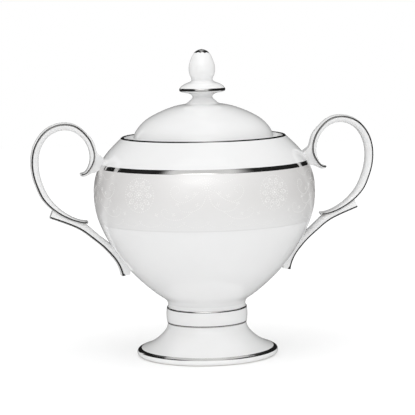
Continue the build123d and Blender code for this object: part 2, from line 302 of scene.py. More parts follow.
def make_china(name, tint=(0.805, 0.806, 0.806), foot_ring=False):
    m, nt, b = material(name)
    c = coords(nt)
    cloud = noise(nt, c, 28.0, 3.0)
    base = ramp(nt, cloud, [(0.30, tuple(v * 0.985 for v in tint)), (0.70, tuple(min(1.0, v * 1.012) for v in tint))])
    speck = noise(nt, c, 1400.0, 2.0)
    base = mixcol(nt, remap(nt, speck, 0.74, 0.80, 0.0, 0.10), base, (0.62, 0.60, 0.57))
    rough = remap(nt, noise(nt, c, 160.0, 4.0), 0.3, 0.7, 0.055, 0.10)
    if foot_ring:   # the dry, unglazed ring that the foot stands on
        dry = remap(nt, height_of(nt, c), 0.00055, 0.00025, 0.0, 1.0)
        grit = ramp(nt, noise(nt, c, 2600.0, 3.0), [(0.3, (0.70, 0.68, 0.64)), (0.7, (0.80, 0.78, 0.74))])
        base = mixcol(nt, dry, base, grit)
        mx = nt.nodes.new("ShaderNodeMix")
        nt.links.new(dry, mx.inputs[0])
        nt.links.new(rough, mx.inputs[2])
        mx.inputs[3].default_value = 0.7
        rough = mx.outputs[0]
    nt.links.new(base, b.inputs["Base Color"])
    nt.links.new(rough, b.inputs["Roughness"])
    b.inputs["IOR"].default_value = 1.5
    b.inputs["Subsurface Weight"].default_value = 0.12
    b.inputs["Subsurface Radius"].default_value = (1.0, 0.95, 0.9)
    b.inputs["Subsurface Scale"].default_value = 0.0015
    ripple = noise(nt, c, 210.0, 2.0)
    bump(nt, b, ripple, 0.05, 0.0006)
    return m


def make_platinum(name, low, high, worn, dull):
    m, nt, b = material(name)
    c = coords(nt)
    b.inputs["Metallic"].default_value = 1.0
    tone = ramp(nt, noise(nt, c, 70.0, 4.0), [(0.3, low), (0.7, high)])
    rub = remap(nt, noise(nt, c, 900.0, 3.0, 0.7), 0.66, 0.74, 0.0, 0.22)
    nt.links.new(mixcol(nt, rub, tone, worn), b.inputs["Base Color"])
    nt.links.new(remap(nt, noise(nt, c, 420.0, 5.0), 0.3, 0.75, dull, dull + 0.08), b.inputs["Roughness"])
    bump(nt, b, noise(nt, c, 1100.0, 3.0), 0.05, 0.00015)
    return m


def make_lustre():
    m, nt, b = material("pearl_lustre")
    c = coords(nt)
    swirl = noise(nt, c, 20.0, 2.0, 0.5, 0.0)
    front = ramp(nt, swirl, [(0.30, (0.738, 0.730, 0.722)), (0.5, (0.750, 0.743, 0.736)), (0.70, (0.762, 0.752, 0.747))])
    # painted shade: edge is a darker copy of the lustre colour, mixed in towards grazing angles so the sides of the
    # belly look shaded
    edge = ramp(nt, swirl, [(0.30, (0.560, 0.547, 0.536)), (0.70, (0.590, 0.572, 0.564))])
    grazing_shade_weight = nt.nodes.new("ShaderNodeLayerWeight")
    grazing_shade_weight.inputs["Blend"].default_value = 0.42
    base = mixcol(nt, remap(nt, grazing_shade_weight.outputs["Facing"], 0.05, 0.85, 0.0, 1.0), front, edge)
    grain = noise(nt, c, 1500.0, 2.0)
    base = mixcol(nt, remap(nt, grain, 0.55, 0.75, 0.0, 0.22), base, (0.81, 0.80, 0.79))
    z = height_of(nt, c)
    base = mixcol(nt, remap(nt, z, 0.0738, 0.0900, 0.97, 0.0), base, (0.802, 0.802, 0.800))
    base = mixcol(nt, remap(nt, z, 0.0743, 0.0746, 0.5, 0.0), base, (0.66, 0.655, 0.65))
    nt.links.new(base, b.inputs["Base Color"])
    nt.links.new(remap(nt, grain, 0.3, 0.7, 0.28, 0.33), b.inputs["Roughness"])
    b.inputs["IOR"].default_value = 1.65
    b.inputs["Coat Weight"].default_value = 0.6
    b.inputs["Coat IOR"].default_value = 1.7
    b.inputs["Coat Roughness"].default_value = 0.20
    bump(nt, b, noise(nt, c, 700.0, 3.0), 0.05, 0.0002)
    return m


def make_enamel():
    m, nt, b = material("raised_enamel")
    c = coords(nt)
    nt.links.new(ramp(nt, noise(nt, c, 500.0, 2.0), [(0.3, (0.81, 0.805, 0.797)), (0.7, (0.84, 0.835, 0.827))]),
                 b.inputs["Base Color"])
    nt.links.new(remap(nt, noise(nt, c, 900.0, 2.0), 0.3, 0.7, 0.48, 0.62), b.inputs["Roughness"])
    b.inputs["Specular IOR Level"].default_value = 0.3
    bump(nt, b, noise(nt, c, 2400.0, 2.0), 0.08, 0.0001)
    return m


CHINA = make_china("china_glaze")
# painted light: the foot uses a lighter copy of the same glaze to brighten its shaded flare and underside; the dry,
# unglazed ring under it is real
CHINA_FOOT_PAINTED_LIGHTER = make_china("china_glaze_foot_painted_lighter", (0.845, 0.846, 0.845), foot_ring=True)
# painted light: the knob uses a lighter copy of the same glaze, making up for the shade under its flange
CHINA_KNOB_PAINTED_LIGHTER = make_china("china_glaze_knob_painted_lighter", (0.850, 0.851, 0.850))
PLATINUM = make_platinum("platinum_lustre", (0.70, 0.695, 0.685), (0.77, 0.765, 0.755), (0.83, 0.825, 0.82), 0.035)
# painted shade: the handle lines use a much darker copy of the same platinum, standing in for the dark reflections the
# thin ridge lines show
PLATINUM_LINE_PAINTED_DARK = make_platinum("platinum_line_painted_dark", (0.20, 0.198, 0.195), (0.27, 0.267, 0.263), (0.40, 0.395, 0.39), 0.16)
LUSTRE = make_lustre()
ENAMEL = make_enamel()


def finish_piece(obj, mat, body, slot_name, *nodes):
    obj.data.materials.clear()
    obj.data.materials.append(mat)
    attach(obj, body)
    if nodes:
        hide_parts(*nodes)
    return obj


# ================================================================ bowl
angle = 49.0
rim_out = (RIM_C[0] + RIM_R * math.cos(math.radians(angle)), RIM_C[1] + RIM_R * math.sin(math.radians(angle)))
outer = cubic([(STEM_R, SPLIT_Z), *BOWL_LOWER, BELLY, *BOWL_UPPER, rim_out], 0.6)
rim_arc = arc(RIM_C, RIM_R, angle, 172.0, 14)
gallery = rounded([rim_arc[-1], (LEDGE_OUT, LEDGE_Z), (LEDGE_IN, LEDGE_Z), (LEDGE_IN, LEDGE_Z - 2.0), (43.4, 113.6),
                   BOWL_INNER[-1]], [0.7, 0.5, 0.5, 3.0])
inner = cubic([*reversed(BOWL_INNER), (0, FLOOR_Z)], 0.8)
bowl_profile = join([(0, SPLIT_Z)], outer, rim_arc, gallery, inner)
bowl = lathe("bowl_china", bowl_profile)
finish_piece(bowl, CHINA, "bowl", "china", "bowl_body")

lustre = skin("lustre_zone", between(outer, 74.0, 103.82), 0.03, 0.10)
finish_piece(lustre, LUSTRE, "bowl", "pearl_lustre", "lustre_band")
shoulder = skin("shoulder_band_metal", between(outer, 103.75, 105.95), 0.05, 0.10)
finish_piece(shoulder, PLATINUM, "bowl", "platinum", "shoulder_band")
rim_path = join(between(outer, rim_out[1] - 0.45, rim_out[1] - 0.01), arc(RIM_C, RIM_R, angle, 148.0, 12))
rim = skin("rim_line_metal", rim_path, 0.04, 0.10)
finish_piece(rim, PLATINUM, "bowl", "platinum", "rim_line")

# ================================================================ pedestal
edge_top = arc(FOOT_C, FOOT_R, 66.0, 66.0, 1)[0]
collar = cubic([(21.75, 26.3), (22.02, 24.6), (22.15, 22.2), (22.0, 19.8), (21.6, 17.9)], 0.4)
flare = cubic([(21.42, 17.3), *FLARE, edge_top], 0.5)
roll = arc(FOOT_C, FOOT_R, 66.0, -90.0, 26)
neck_step = rounded([(STEM_R, SPLIT_Z), (STEM_R, 26.95), (21.45, 26.6), (21.75, 26.3)], [0.5, 0.2])
step_down = rounded([(21.6, 17.9), (21.45, 17.6), (21.42, 17.3)], [0.2])
under = join(rounded([(FOOT_C[0], 0), (34.6, 0), (33.6, 1.1), (29.2, 3.9)], [0.3, 0.9]),
             cubic([(29.2, 3.9), (24.6, 6.9), (21.0, 10.0), (18.7, 13.8), (18.0, 18.0)], 0.6), [(18.0, 28.5)])
foot_profile = join(neck_step, collar, step_down, flare, roll, under)
foot = lathe("foot_china", foot_profile)
finish_piece(foot, CHINA_FOOT_PAINTED_LIGHTER, "bowl", "china", "pedestal_foot")
rising = join(arc(FOOT_C, FOOT_R, 33.0, 66.0, 8), flare[::-1])
band = skin("foot_edge_metal", between(rising, rising[0][1] + 0.001, 4.14), 0.05, 0.10)
finish_piece(band, PLATINUM, "bowl", "platinum", "foot_edge_band")
collar_up = collar[::-1]
top_path = join(between(collar_up, 25.72, 26.29), neck_step[::-1][1:3])
top_line = skin("collar_upper_metal", top_path, 0.05, 0.10)
finish_piece(top_line, PLATINUM, "bowl", "platinum", "foot_collar_upper_line")
low_path = join(step_down[::-1][2:-1], between(collar_up, 17.91, 18.55))
low_line = skin("collar_lower_metal", low_path, 0.05, 0.10)
finish_piece(low_line, PLATINUM, "bowl", "platinum", "foot_collar_lower_line")

# ================================================================ lid and knob
dome = cubic([SEAT, *reversed(DOME)], 0.5)
lid_edge = rounded([DOME[0], (38.7, 117.45), (40.3, 117.2), (40.6, 116.9), (40.6, LEDGE_Z), (36.9, LEDGE_Z),
                    (36.9, 112.8), (36.4, 112.3), (35.1, 112.3), (34.7, 112.7), (34.7, 117.6)],
                   [0.9, 0.25, 0.25, 0.3, 0.3, 0.4, 0.4, 0.3, 0.4])
lid_in = cubic([(34.7, 117.6), *DOME_IN, (0, 133.5)], 0.8)
lid_profile = join([(0, 135.8), (SEAT[0], 135.8)], dome, lid_edge, lid_in)
lid = lathe("lid_china", lid_profile)
finish_piece(lid, CHINA, "lid", "china", "lid_dome")

neck = cubic([SEAT, *NECK, (8.6, 142.9)], 0.2)
disc_low = cubic([(8.6, 142.9), (10.7, 143.25), (11.9, 143.6), (FLANGE_R, FLANGE_LO)], 0.2)
disc_top = cubic([(FLANGE_R, FLANGE_HI), (12.0, 145.75), *DISC_TOP, (6.6, 148.85), (5.75, 149.5)], 0.2)
egg = cubic([(5.75, 149.5), *EGG, (0, TIP_Z)], 0.2)
edge_run = [(FLANGE_R, FLANGE_LO), (FLANGE_R + 0.02, 144.5), (FLANGE_R, FLANGE_HI)]
knob = lathe("knob_china", join([(0, 135.8), (SEAT[0], 135.8)], neck, disc_low, edge_run, disc_top, egg), 160, 45)
finish_piece(knob, CHINA_KNOB_PAINTED_LIGHTER, "lid", "china", "knob")
ring = skin("knob_disc_metal", join(disc_low[-2:-1], edge_run, disc_top[1:3]), 0.05, 0.1, 160)
finish_piece(ring, PLATINUM, "lid", "platinum", "knob_flange_line")

cap_low, cap_teeth = 164.25, 10            # hand-painted tip with a softly scalloped lower edge
egg_z = egg[:, 1]
cap_rows = 14
verts, faces = [], []
segs = 160
for layer, off in ((0, 0.05), (1, -0.08)):
    for i in range(cap_rows):
        for k in range(segs):
            a = 2 * math.pi * k / segs
            z0 = cap_low + 0.42 * abs(math.sin(a * cap_teeth / 2)) + 0.10 * math.sin(3 * a + 1.0)
            z = z0 + (TIP_Z - z0) * (i / cap_rows) ** 0.8
            r = float(np.interp(z, egg_z, egg[:, 0]))
            dz = 0.05
            slope = (float(np.interp(z + dz, egg_z, egg[:, 0])) - float(np.interp(z - dz, egg_z, egg[:, 0]))) / (2 * dz)
            nr, nz = 1 / math.hypot(1, slope), -slope / math.hypot(1, slope)
            verts.append(((r + nr * off) * math.cos(a) * MM, (r + nr * off) * math.sin(a) * MM, (z + nz * off) * MM))
for layer in (0, 1):
    base = layer * cap_rows * segs
    for i in range(cap_rows - 1):
        for k in range(segs):
            n = (k + 1) % segs
            faces.append((base + i * segs + k, base + i * segs + n, base + (i + 1) * segs + n, base + (i + 1) * segs + k))
tops = []
for off in (0.05, -0.08):
    tops.append(len(verts))
    verts.append((0, 0, (TIP_Z + off) * MM))
for layer in (0, 1):
    base = layer * cap_rows * segs + (cap_rows - 1) * segs
    for k in range(segs):
        faces.append((base + k, base + (k + 1) % segs, tops[layer]))
for k in range(segs):
    n = (k + 1) % segs
    faces.append((k, n, cap_rows * segs + n, cap_rows * segs + k))
tip = mesh_object("knob_tip_metal", verts, faces, 60)
finish_piece(tip, PLATINUM, "lid", "platinum", "knob_tip")

# ================================================================ handles
HALF = 4.28            # half of the ribbon's depth, front to back
CROWN = 0.62           # how much the back edge bulges out between its two ridges
CORNER = 0.70          # rounding of the two ridges


def ribbon_section(thick, half=HALF, foot=0.0, count=22):
    """Closed loop (across the ribbon, front to back): 0 is the back edge and thick the belly.
    foot blends the half-round belly into a spread foot that is luted onto the bowl."""
    r = min(CORNER, thick * 0.36)
    pts = [(CROWN * (v / (half - r)) ** 2, v) for v in np.linspace(-(half - r), half - r, 9)]
    for a in np.linspace(90, 0, 6)[1:]:
        pts.append((CROWN + r - r * math.sin(math.radians(a)), half - r + r * math.cos(math.radians(a))))
    u0 = CROWN + r + 0.12
    for a in np.linspace(0, 180, count + 1):
        c, s = math.cos(math.radians(a)), math.sin(math.radians(a))
        round_u, round_v = u0 + (thick - u0) * abs(s) ** 0.85, half * math.copysign(abs(c) ** 0.60, c)
        f = 1 - abs(a - 90) / 90
        foot_u = u0 + (thick - u0) * min(1.0, f / 0.8)
        foot_v = half * (1 + 0.16 * (foot_u / thick) ** 5) * (1 if f < 0.8 else (1 - f) / 0.2) * (1 if a < 90 else -1)
        pts.append((round_u * (1 - foot) + foot_u * foot, round_v * (1 - foot) + foot_v * foot))
    for a in np.linspace(0, 90, 6)[:-1]:
        pts.append((CROWN + r - r * math.sin(math.radians(a)), -(half - r) - r * math.cos(math.radians(a))))
    return np.array(pts)


def ridge_section(thick, side, wide, half=HALF, out=0.05, deep=0.12, count=13):
    """Closed loop of the metal line that wraps one ridge of the ribbon; wide is how far it runs past the rounding."""
    r = min(CORNER, thick * 0.36)
    run_pts = []
    for a in np.linspace(84, 0, 19):
        run_pts.append((CROWN + r - r * math.sin(math.radians(a)), half - r + r * math.cos(math.radians(a))))
    u0 = CROWN + r + 0.12
    for u in np.linspace(CROWN + r, thick * 0.93, 12)[1:]:
        a = min(0.98, (max(0.0, u - u0) / max(0.05, thick - u0)) ** (1 / 0.85))
        run_pts.append((u, half * (1 - a ** 2) ** 0.30))
    run_pts = np.array(run_pts)
    length = np.concatenate([[0], np.cumsum(np.linalg.norm(np.diff(run_pts, axis=0), axis=1))])
    stop = min(length[-1], r * 1.47 + 0.10 + wide)
    t = np.linspace(0, stop, count)
    p = np.stack([np.interp(t, length, run_pts[:, 0]), np.interp(t, length, run_pts[:, 1])], 1)
    d = np.gradient(p, axis=0)
    d /= np.linalg.norm(d, axis=1)[:, None]
    n = np.stack([-d[:, 1], d[:, 0]], 1)
    loop = np.concatenate([p + n * out, (p - n * deep)[::-1]])
    if side < 0:
        loop = loop[::-1] * np.array([1, -1])
    return loop


def frames(back, step=0.6, soft=9):
    """An evenly stepped path through the traced points, with the tracing's small wobble smoothed out."""
    path = resample(cubic(back, 0.2), step)
    kernel = np.hanning(soft + 2)[1:-1]
    kernel /= kernel.sum()
    h = soft // 2
    for _ in range(2):
        padded = np.concatenate([2 * path[0] - path[h:0:-1], path, 2 * path[-1] - path[-2:-h - 2:-1]])
        path = np.stack([np.convolve(padded[:, k], kernel, mode="valid") for k in (0, 1)], 1)
    path = resample(path, step)
    return path, normals(path)


def reach(path, normal, belly):
    """Distance from each point along its normal to the belly curve."""
    dense = resample(cubic(belly, 0.2), 0.15)
    out = []
    for p, n in zip(path, normal):
        d = dense - p
        along, across = d @ n, np.abs(d @ np.array([-n[1], n[0]]))
        score = across + np.where((along > 0) & (along < 9.5), 0, 99)
        k = int(np.argmin(score))
        out.append(along[k] if score[k] < 1.2 else np.nan)
    out = np.array(out)
    ok = ~np.isnan(out)
    out = np.interp(np.arange(len(out)), np.flatnonzero(ok), out[ok])
    kernel = np.hanning(17)[1:-1]
    padded = np.concatenate([np.full(7, out[0]), out, np.full(7, out[-1])])
    return np.convolve(padded, kernel / kernel.sum(), mode="valid")


def sweep(name, path, normal, loops, side, cap=0.0, sharp=50, hollow_caps=False):
    """A closed tube from section loops set along a path in the plane of a handle."""
    rings = []
    tangent = np.stack([-normal[:, 1], normal[:, 0]], 1)
    for p, n, loop in zip(path, normal, loops):
        rings.append([(p[0] + n[0] * u, v, p[1] + n[1] * u) for u, v in loop])
    if cap:
        for end, sign in ((0, -1), (-1, 1)):
            p, n, t, loop = path[end], normal[end], tangent[end] * sign, np.array(loops[end])
            mid = loop.mean(axis=0)
            extra = []
            for a in (25, 48, 68, 82):
                s, c = math.sin(math.radians(a)), math.cos(math.radians(a))
                q = mid + (loop - mid) * (0.12 + 0.88 * c)
                extra.append([(p[0] + n[0] * u + t[0] * cap * s, v, p[1] + n[1] * u + t[1] * cap * s) for u, v in q])
            rings = extra[::-1] + rings if end == 0 else rings + extra
    verts = [(side * x * MM, y * MM, z * MM) for ring in rings for x, y, z in ring]
    m = len(rings[0])
    faces = []
    for i in range(len(rings) - 1):
        for k in range(m):
            n = (k + 1) % m
            faces.append((i * m + k, i * m + n, (i + 1) * m + n, (i + 1) * m + k))
    for base in (0, (len(rings) - 1) * m):
        centre = len(verts)
        ring = verts[base:base + m]
        verts.append(tuple(sum(q[k] for q in ring) / m for k in range(3)))
        for k in range(m):
            faces.append((base + k, base + (k + 1) % m, centre))
    return mesh_object(name, verts, faces, sharp)


# The scroll's belly, same direction as its back.
SCROLL_IN = [(66.9, 101.3), (65.3, 101.7), (63.3, 103.9), (62.1, 107.3), (62.0, 111.3), (62.9, 115.6), (64.8, 119.2),
             (67.8, 122.2), (71.2, 124.1), (74.8, 124.8), (78.4, 124.4), (81.8, 123.0), (85.0, 120.4), (87.4, 116.8),
             (88.8, 112.6), (89.4, 107.4), (89.0, 101.9), (87.6, 96.3), (85.3, 90.9), (83.1, 87.3), (80.0, 83.7),
             (76.8, 80.9), (73.8, 78.8), (70.8, 77.2), (67.6, 76.0), (64.5, 75.5)]
scroll_path, scroll_n = frames([(x, z) for x, z in SCROLL_OUT], 0.7)
scroll_path = scroll_path + scroll_n * 0.06
scroll_t = np.maximum(1.35, reach(scroll_path, scroll_n, SCROLL_IN))
branch_path, branch_n = frames(BRANCH_OUT, 0.7)
branch_path = branch_path + branch_n * 0.06
# thickness of the branch against the distance run along its back, from the spur to the pointed end
run = np.concatenate([[0], np.cumsum(np.linalg.norm(np.diff(branch_path, axis=0), axis=1))])
run_x = [0, 4.5, 10, 14.5, 18.5, 22.5, 28, 34, 38.5, 44, 48.2, 51.5, 54.4, 57]
run_t = [5.9, 4.7, 3.9, 4.2, 4.6, 4.2, 3.9, 4.3, 4.8, 5.4, 5.6, 4.9, 3.5, 1.5]
branch_t = np.interp(run, run_x, run_t)
branch_foot = np.clip(np.interp(run, [31, 40], [0, 1]), 0, 1) * np.clip(np.interp(run, [52, 56], [1, 0.25]), 0, 1)
branch_half = np.interp(run, [0, 16, 24, 60], [3.92, 3.92, 4.28, 4.28])

for label, side in (("right", 1), ("left", -1)):
    scroll = sweep(f"handle_{label}_scroll_china", scroll_path, scroll_n,
                   [ribbon_section(t) for t in scroll_t], side, cap=0.55)
    finish_piece(scroll, CHINA, "bowl", "china", f"handle_{label}")
    branch = sweep(f"handle_{label}_branch_china", branch_path, branch_n,
                   [ribbon_section(t, h, f) for t, h, f in zip(branch_t, branch_half, branch_foot)], side, cap=0.0)
    finish_piece(branch, CHINA, "bowl", "china", f"handle_{label}")

    # upper stem: ribs from inside the scroll's back out to the free edge or into the bowl's wall
    web_in = cubic([(66.9, 100.55), (64.5, 101.0), (62.4, 103.2), (60.6, 106.3), (59.6, 109.6), (59.7, 113.4),
                    (60.6, 116.6), (62.1, 119.8), (64.4, 122.9)], 0.5)
    web_out = cubic([(66.9, 99.7), (64.9, 99.6), (61.6, 101.1), (57.6, 102.5), (55.5, 104.6), (54.2, 106.8),
                     (54.4, 108.7), (57.3, 111.4), (58.85, 115.6), (60.4, 119.4), (63.1, 122.7)], 0.5)
    n = 90
    inner_pts = interp_at(web_in, np.linspace(0, 1, n))
    keys_out = np.interp(np.linspace(0, 1, n), [0, 0.10, 0.20, 0.34, 0.46, 0.60, 0.72, 1.0],
                         [0, 0.10, 0.235, 0.375, 0.49, 0.60, 0.735, 1.0])
    outer_pts = interp_at(web_out, keys_out)
    rings = []
    for k, (a, b) in enumerate(zip(inner_pts, outer_pts)):
        s = k / (n - 1)
        foot = float(np.interp(s, [0.12, 0.24, 0.56, 0.68], [0, 1, 1, 0]))
        half = float(np.interp(s, [0, 0.15, 0.45, 0.8, 1.0], [2.4, 3.1, 3.5, 3.2, 2.6]))
        loop = []
        for ang in np.linspace(0, 180, 25):
            c, sn = math.cos(math.radians(ang)), math.sin(math.radians(ang))
            ru, rv = abs(sn) ** 0.9, math.copysign(abs(c) ** 0.55, c)
            f = 1 - abs(ang - 90) / 90
            fu = min(1.0, f / 0.8)
            fv = (1 + 0.22 * fu ** 3) * (1 if f < 0.8 else (1 - f) / 0.2) * (1 if ang < 90 else -1)
            u, v = ru * (1 - foot) + fu * foot, rv * (1 - foot) + fv * foot
            loop.append((a[0] + (b[0] - a[0]) * u, half * v, a[1] + (b[1] - a[1]) * u))
        rings.append(loop)
    verts = [(side * x * MM, y * MM, z * MM) for ring in rings for x, y, z in ring]
    m = 25
    faces = []
    for i in range(n - 1):
        for k in range(m):
            j = (k + 1) % m
            faces.append((i * m + k, i * m + j, (i + 1) * m + j, (i + 1) * m + k))
    for base in (0, (n - 1) * m):
        verts.append(tuple(sum(verts[base + k][q] for k in range(m)) / m for q in range(3)))
        for k in range(m):
            faces.append((base + k, base + (k + 1) % m, len(verts) - 1))
    web = mesh_object(f"handle_{label}_stem_china", verts, faces, 60)
    finish_piece(web, CHINA, "bowl", "china", f"handle_{label}")

    # metal lines on both ridges of the scroll and of the branch, swelling to a dot at each tip
    for part, path, nrm, thick, half_of, dots in (
            ("scroll", scroll_path, scroll_n, scroll_t, np.full(len(scroll_t), HALF), (True, True)),
            ("branch", branch_path, branch_n, branch_t, branch_half, (False, True))):
        length = np.concatenate([[0], np.cumsum(np.linalg.norm(np.diff(path, axis=0), axis=1))])
        wide = np.full(len(path), 0.0)
        if dots[0]:
            wide = wide + 0.95 * np.exp(-(length / 1.0) ** 2)
        if dots[1]:
            wide = wide + 0.95 * np.exp(-((length[-1] - length) / 1.0) ** 2)
        both = []
        for face, tag in ((1, "rear"), (-1, "front")):
            loops = [ridge_section(t, face, w, h) for t, w, h in zip(thick, wide, half_of)]
            both.append(sweep(f"handle_{label}_{part}_line_{tag}", path, nrm, loops, side, 0.0, 60))
        for piece in both:
            finish_piece(piece, PLATINUM_LINE_PAINTED_DARK, "bowl", "platinum", f"handle_{label}_{part}_line")

# ================================================================ raised-dot lace on the lustre zone
zone = resample(between(outer, 74.0, 103.8), 0.2)
zone_s = np.concatenate([[0], np.cumsum(np.linalg.norm(np.diff(zone, axis=0), axis=1))])
zone_n = normals(zone)
FULL = 2 * math.pi * 59.0              # arc length of one turn at the middle of the zone
dots = []


def dot(a, b, size):
    if 0.8 < b < zone_s[-1] - 0.7:
        dots.append((a, b, size))


def curve(points, size0, size1, gap=1.05):
    path = resample(cubic(points, 0.2), gap)
    for k, (a, b) in enumerate(path):
        dot(a, b, size0 + (size1 - size0) * k / max(1, len(path) - 1))


def ring_of(a, b, radius, count, size, turn=0.0):
    for k in range(count):
        t = 2 * math.pi * (k + turn) / count
        dot(a + radius * math.cos(t), b + radius * math.sin(t), size)


REPEATS = 5
PITCH = FULL / REPEATS
for rep in range(REPEATS):
    # rosette
    a0, b0 = PITCH * (rep + 0.5), 19.2
    ring_of(a0, b0, 0.0, 1, 0.75)
    ring_of(a0, b0, 1.5, 8, 0.40)
    ring_of(a0, b0, 2.7, 12, 0.34, 0.5)
    for k in range(10):
        t = 2 * math.pi * k / 10
        ct, st = math.cos(t), math.sin(t)
        for along, across in ((4.1, 0.0), (4.9, 0.85), (4.9, -0.85), (6.0, 1.05), (6.0, -1.05), (7.0, 0.6), (7.0, -0.6),
                              (7.6, 0.0), (5.5, 0.0)):
            dot(a0 + along * ct - across * st, b0 + along * st + across * ct, 0.38 if along < 7.2 else 0.44)
    ring_of(a0, b0, 8.9, 40, 0.30)
    # small flower between two rosettes, hung from the metal band
    a1, b1 = PITCH * rep, 23.2
    ring_of(a1, b1, 0.0, 1, 0.50)
    ring_of(a1, b1, 1.35, 6, 0.34)
    ring_of(a1, b1, 2.5, 12, 0.22, 0.5)
    ring_of(a1, b1, 3.9, 18, 0.20)
    for s in (1, -1):
        # leafy scrolls from the small flower down and round under the rosette
        curve([(a1 + s * 4.4, b1 - 2.2), (a1 + s * 8.0, b1 - 5.4), (a1 + s * 12.6, b1 - 7.2), (a1 + s * 17.0, b1 - 5.4),
               (a1 + s * 18.9, b1 - 2.0), (a1 + s * 17.3, b1 + 0.9), (a1 + s * 14.9, b1 + 0.6),
               (a1 + s * 14.2, b1 - 1.4), (a1 + s * 15.6, b1 - 2.7)], 0.34, 0.22)
        curve([(a1 + s * 0.9, b1 - 4.8), (a1 + s * 2.6, b1 - 8.6), (a1 + s * 6.4, b1 - 11.6), (a1 + s * 11.0, b1 - 12.2),
               (a1 + s * 14.4, b1 - 10.4), (a1 + s * 14.6, b1 - 8.3), (a1 + s * 12.6, b1 - 7.9)], 0.32, 0.22)
        curve([(a1 + s * 8.4, b1 - 12.6), (a1 + s * 12.6, b1 - 15.6), (a1 + s * 18.6, b1 - 16.4),
               (a1 + s * 23.2, b1 - 14.4), (a1 + s * 24.0, b1 - 11.8), (a1 + s * 21.9, b1 - 10.8),
               (a1 + s * 20.6, b1 - 12.4)], 0.30, 0.20)
        for along, up, tilt in ((6.2, -2.6, 0.9), (10.4, -4.4, 1.2), (15.6, -8.2, -0.5), (5.2, -8.6, 0.3),
                                (17.6, -13.6, 0.6), (27.0, -14.0, 1.1)):
            for k in range(4):
                t = tilt + 2 * math.pi * k / 4
                dot(a1 + s * (along + 0.75 * math.cos(t)), b1 + up + 0.75 * math.sin(t), 0.28)
            dot(a1 + s * along, b1 + up, 0.34)
        curve([(a1 + s * 0.0, b1 + 5.2), (a1 + s * 4.6, b1 + 4.4), (a1 + s * 9.0, b1 + 2.6), (a1 + s * 12.0, b1 + 3.4),
               (a1 + s * 15.6, b1 + 5.4)], 0.24, 0.20, 1.25)
    # fine festoon along the lower edge
    for k in range(6):
        a2 = PITCH * (rep + k / 6)
        curve([(a2, 4.4), (a2 + PITCH / 24, 3.0), (a2 + PITCH / 12, 2.5), (a2 + PITCH / 8, 3.0), (a2 + PITCH / 6, 4.4)],
              0.20, 0.20, 1.35)
        ring_of(a2, 5.3, 0.55, 3, 0.22, 0.25)

verts, faces = [], []
for a, b, size in dots:
    phi = 2 * math.pi * (a / FULL) - math.pi / 2 - math.radians(6.5)
    r = float(np.interp(b, zone_s, zone[:, 0]))
    z = float(np.interp(b, zone_s, zone[:, 1]))
    nr, nz = float(np.interp(b, zone_s, zone_n[:, 0])), float(np.interp(b, zone_s, zone_n[:, 1]))
    er, et = np.array([math.cos(phi), math.sin(phi), 0.0]), np.array([-math.sin(phi), math.cos(phi), 0.0])
    up = er * nr + np.array([0, 0, nz])
    side_v = np.cross(up, et)
    centre = er * r + np.array([0, 0, z])
    tall = 0.04 + 0.22 * size
    if abs(centre[1]) > 59.4:          # keeps inside the CAD's own box
        tall = min(tall, 0.11)
    start = len(verts)
    for radius, lift in ((1.0, -0.06), (0.97, 0.34), (0.62, 0.80)):
        for k in range(8):
            t = 2 * math.pi * k / 8
            q = centre + (et * math.cos(t) + side_v * math.sin(t)) * size * radius + up * (tall * lift if lift > 0 else lift)
            verts.append(tuple(q * MM))
    verts.append(tuple((centre + up * tall) * MM))
    verts.append(tuple((centre - up * 0.06) * MM))
    for j in (0, 1):
        for k in range(8):
            n = (k + 1) % 8
            faces.append((start + 8 * j + k, start + 8 * j + n, start + 8 * (j + 1) + n, start + 8 * (j + 1) + k))
    for k in range(8):
        n = (k + 1) % 8
        faces.append((start + 16 + k, start + 16 + n, start + 24))
        faces.append((start + n, start + k, start + 25))
lace = mesh_object("lustre_lace_dots", verts, faces)
finish_piece(lace, ENAMEL, "bowl", "pearl_lustre")

# ================================================================ floor
fm, fnt, fb = material("paper_floor")
fc = coords(fnt)
fnt.links.new(ramp(fnt, noise(fnt, fc, 5.0, 4.0), [(0.35, (0.875, 0.875, 0.875)), (0.65, (0.89, 0.89, 0.89))]),
              fb.inputs["Base Color"])
fnt.links.new(remap(fnt, noise(fnt, fc, 60.0, 3.0), 0.3, 0.7, 0.82, 0.92), fb.inputs["Roughness"])
fb.inputs["Specular IOR Level"].default_value = 0.1
fb.inputs["Emission Color"].default_value = (1.0, 1.0, 1.0, 1.0)
fb.inputs["Emission Strength"].default_value = 0.12
bump(fnt, fb, noise(fnt, fc, 900.0, 3.0), 0.05, 0.0003)
f_out = [n for n in fnt.nodes if n.type == "OUTPUT_MATERIAL"][0]
floor_painted_reflection = fnt.nodes.new("ShaderNodeEmission")                 # painted reflection: glossy rays see the table as a dim glow, not as it is lit
floor_painted_reflection.inputs["Color"].default_value = (1.0, 1.0, 1.0, 1.0)
floor_painted_reflection.inputs["Strength"].default_value = 0.16
f_path = fnt.nodes.new("ShaderNodeLightPath")
f_mix = fnt.nodes.new("ShaderNodeMixShader")
fnt.links.new(f_path.outputs["Is Glossy Ray"], f_mix.inputs[0])
fnt.links.new(fb.outputs["BSDF"], f_mix.inputs[1])
fnt.links.new(floor_painted_reflection.outputs["Emission"], f_mix.inputs[2])
fnt.links.new(f_mix.outputs["Shader"], f_out.inputs["Surface"])
rings, verts, faces = [0.0, 0.05, 0.1, 0.2, 0.4, 0.8, 1.5], [(0, 0, 0)], []
segs = 96
for r in rings[1:]:
    for k in range(segs):
        a = 2 * math.pi * k / segs
        verts.append((r * math.cos(a), r * math.sin(a), 0.0))
for k in range(segs):
    faces.append((0, 1 + k, 1 + (k + 1) % segs))
for i in range(len(rings) - 2):
    for k in range(segs):
        n = (k + 1) % segs
        faces.append((1 + i * segs + k, 1 + (i + 1) * segs + k, 1 + (i + 1) * segs + n, 1 + i * segs + n))
